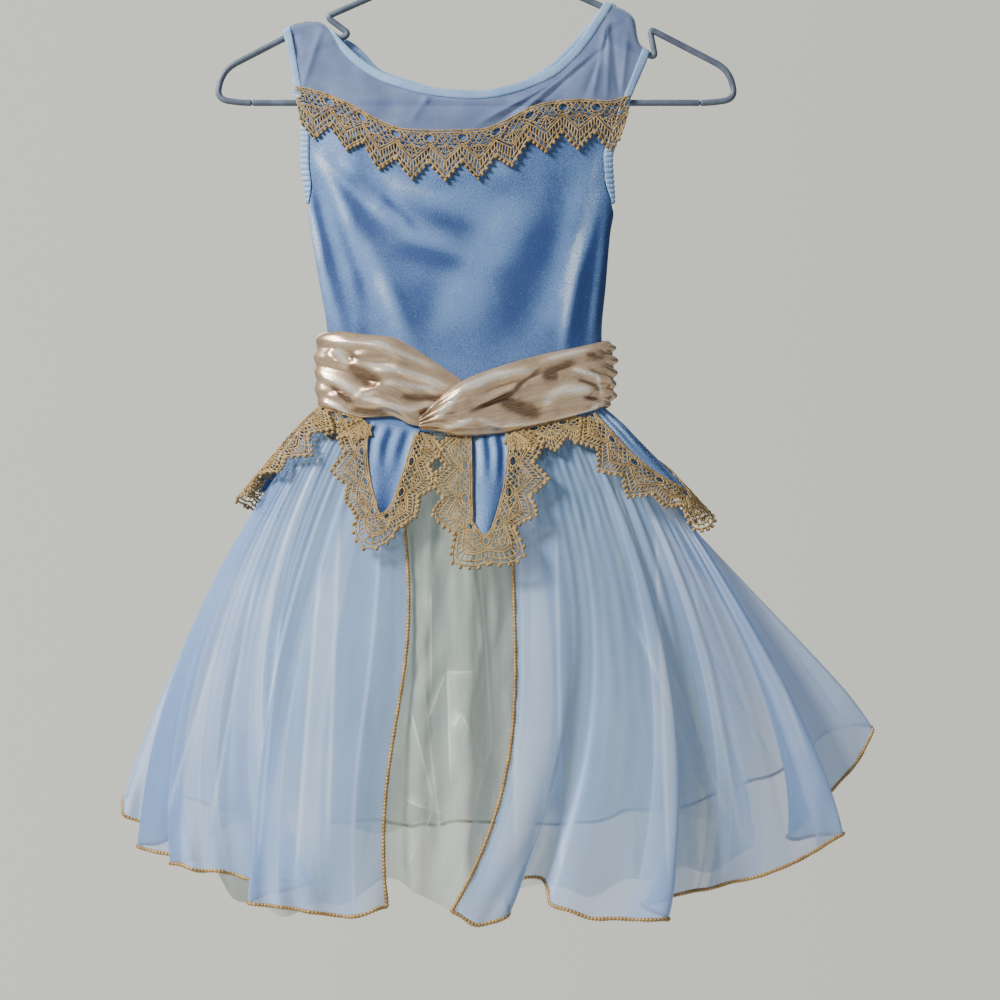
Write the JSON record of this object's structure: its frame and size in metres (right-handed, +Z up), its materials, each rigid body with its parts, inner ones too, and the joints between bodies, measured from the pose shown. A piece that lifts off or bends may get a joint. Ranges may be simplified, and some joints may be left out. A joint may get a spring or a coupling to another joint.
{
  "type": "ballet costume on a hanger",
  "caption": "Child's ballet costume on a wire hanger: velvet bodice with mesh yoke, satin sash, lace-edged petals and a tulle skirt open over an underskirt",
  "frame": {"origin": "the bearing point inside the top of the hanger's hook, where a rail carries it", "axes": "+Z up, +X to the viewer's right in the front view, +Y from the front of the costume to its back"},
  "size_m": [0.6105, 0.1967, 0.8324],
  "materials": {
    "velvet": "crushed stretch velvet, blue",
    "mesh": "sheer stretch mesh, grey blue",
    "binding": "stretch binding, light blue",
    "lace": "gold guipure lace",
    "satin": "champagne satin",
    "blue_tulle": "pale blue tulle",
    "ivory_tulle": "ivory tulle",
    "gold_thread": "gold overlocked edge",
    "coated_wire": "plastic-coated steel wire, satin grey"
  },
  "bodies": {
    "root": {"hanger_hook": "coated_wire", "hanger_collar": "coated_wire", "hanger_arm_left": "coated_wire", "hanger_arm_right": "coated_wire", "hanger_bar": "coated_wire", "bodice_front": "velvet", "armhole_gather_front_left": "binding", "armhole_gather_front_right": "binding", "bodice_back": "velvet", "armhole_gather_back_left": "binding", "armhole_gather_back_right": "binding", "neck_binding_front": "binding", "armhole_binding_front_left": "binding", "armhole_binding_front_right": "binding", "yoke_front": "mesh", "neck_binding_back": "binding", "armhole_binding_back_left": "binding", "armhole_binding_back_right": "binding", "yoke_back": "mesh", "neck_lace": "lace", "sash_left": "satin", "sash_right": "satin", "sash_back": "satin", "overskirt_left": "blue_tulle", "rolled_edge_left": "gold_thread", "overskirt_right": "blue_tulle", "rolled_edge_right": "gold_thread", "underskirt": "ivory_tulle", "petal_left": "velvet", "petal_lace_left": "lace", "petal_centre_left": "velvet", "petal_lace_centre_left": "lace", "petal_centre": "velvet", "petal_lace_centre": "lace", "petal_right": "velvet", "petal_lace_right": "lace", "petal_back_left": "velvet", "petal_lace_back_left": "lace", "petal_back_right": "velvet", "petal_lace_back_right": "lace", "arch_lace_left": "lace", "arch_lace_right": "lace"}
  },
  "joints": []
}
